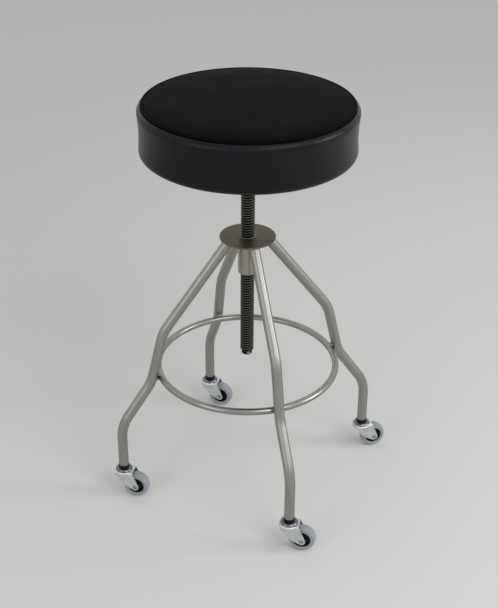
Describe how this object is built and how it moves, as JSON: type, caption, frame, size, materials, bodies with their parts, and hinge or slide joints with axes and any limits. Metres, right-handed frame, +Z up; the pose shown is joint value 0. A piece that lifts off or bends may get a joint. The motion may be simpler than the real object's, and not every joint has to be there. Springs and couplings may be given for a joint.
{
  "type": "medical exam stool",
  "caption": "Backless round exam stool: padded seat on a lift screw that turns in a hub nut, bent tube legs, a foot ring and swivel casters",
  "frame": {"origin": "on the floor, on the stool's vertical axis", "axes": "+Z up along the lift screw, -Y toward the front leg, +X toward the right leg"},
  "size_m": [0.5665, 0.547, 0.777],
  "materials": {
    "hub_plate_steel": "dull, lightly turned face with a bright rim",
    "weld_steel": "welded steel, wire brushed",
    "nut_steel": "machined steel, wiped dry",
    "satin_stainless": "satin with polished streaks",
    "zinc_plate": "bright zinc plate",
    "spring_steel": "spring steel",
    "bright_race": "bright",
    "ball_steel": "polished",
    "black_nylon": "moulded, matt",
    "grey_tyre": "smooth grey rubber",
    "black_rubber": "matt",
    "oiled_steel": "dark oiled thread with bright crests",
    "plywood": "raw plywood",
    "foam": "open cell foam",
    "black_vinyl": "vinyl, soft sheen",
    "black_cambric": "thin woven cover"
  },
  "bodies": {
    "base": {"hub_plate": "hub_plate_steel", "nut_sleeve": "weld_steel", "lift_nut": "nut_steel", "leg_front": "satin_stainless", "leg_right": "satin_stainless", "leg_back": "satin_stainless", "leg_left": "satin_stainless", "foot_ring": "satin_stainless", "ring_welds": "weld_steel", "hub_welds": "weld_steel", "caster_front_socket": "black_nylon", "caster_front_stem": "zinc_plate", "caster_front_grip": "spring_steel", "caster_front_race": "bright_race", "caster_right_socket": "black_nylon", "caster_right_stem": "zinc_plate", "caster_right_grip": "spring_steel", "caster_right_race": "bright_race", "caster_back_socket": "black_nylon", "caster_back_stem": "zinc_plate", "caster_back_grip": "spring_steel", "caster_back_race": "bright_race", "caster_left_socket": "black_nylon", "caster_left_stem": "zinc_plate", "caster_left_grip": "spring_steel", "caster_left_race": "bright_race"},
    "lift": {"bumper_washer": "black_rubber"},
    "seat": {"lift_screw": "oiled_steel", "stop_pin": "zinc_plate", "seat_flange": "weld_steel", "flange_screws": "zinc_plate", "seat_board": "plywood", "seat_foam": "foam", "seat_top_panel": "black_vinyl", "seat_boxing": "black_vinyl", "seat_welt": "black_vinyl", "dust_cover": "black_cambric"},
    "caster_front": {"caster_front_fork": "zinc_plate", "caster_front_balls": "ball_steel", "caster_front_axle": "zinc_plate"},
    "wheel_front": {"caster_front_core": "black_nylon", "caster_front_tyre": "grey_tyre"},
    "caster_right": {"caster_right_fork": "zinc_plate", "caster_right_balls": "ball_steel", "caster_right_axle": "zinc_plate"},
    "wheel_right": {"caster_right_core": "black_nylon", "caster_right_tyre": "grey_tyre"},
    "caster_back": {"caster_back_fork": "zinc_plate", "caster_back_balls": "ball_steel", "caster_back_axle": "zinc_plate"},
    "wheel_back": {"caster_back_core": "black_nylon", "caster_back_tyre": "grey_tyre"},
    "caster_left": {"caster_left_fork": "zinc_plate", "caster_left_balls": "ball_steel", "caster_left_axle": "zinc_plate"},
    "wheel_left": {"caster_left_core": "black_nylon", "caster_left_tyre": "grey_tyre"}
  },
  "joints": [
    {"name": "seat_lift", "type": "slide", "parent": "base", "child": "lift", "axis": [0, 0, 1], "range_m": [-0.13462, 0.1651]},
    {"name": "seat_turn", "type": "hinge", "parent": "lift", "child": "seat", "pos_m": [0, 0, 0.5], "axis": [0, 0, 1], "range_deg": [-9540, 11700]},
    {"name": "swivel_front", "type": "hinge", "parent": "base", "child": "caster_front", "pos_m": [0, -0.2484, 0.0625], "axis": [0, 0, 1], "continuous": true},
    {"name": "roll_front", "type": "hinge", "parent": "caster_front", "child": "wheel_front", "pos_m": [0.02194, -0.25997, 0.0254], "axis": [0.4664, 0.8846, 0], "continuous": true},
    {"name": "swivel_right", "type": "hinge", "parent": "base", "child": "caster_right", "pos_m": [0.2484, 0, 0.0625], "axis": [0, 0, 1], "continuous": true},
    {"name": "roll_right", "type": "hinge", "parent": "caster_right", "child": "wheel_right", "pos_m": [0.2732, -0.00035, 0.0254], "axis": [0.014, 0.9999, 0], "continuous": true},
    {"name": "swivel_back", "type": "hinge", "parent": "base", "child": "caster_back", "pos_m": [0, 0.2484, 0.0625], "axis": [0, 0, 1], "continuous": true},
    {"name": "roll_back", "type": "hinge", "parent": "caster_back", "child": "wheel_back", "pos_m": [0.02039, 0.23428, 0.0254], "axis": [0.5693, 0.8221, 0], "continuous": true},
    {"name": "swivel_left", "type": "hinge", "parent": "base", "child": "caster_left", "pos_m": [-0.2484, 0, 0.0625], "axis": [0, 0, 1], "continuous": true},
    {"name": "roll_left", "type": "hinge", "parent": "caster_left", "child": "wheel_left", "pos_m": [-0.22732, -0.01307, 0.0254], "axis": [0.527, 0.8499, 0], "continuous": true}
  ],
  "couplings": [
    {"joint": "seat_turn", "follows": "seat_lift", "rad_per_m": 1236.8}
  ]
}
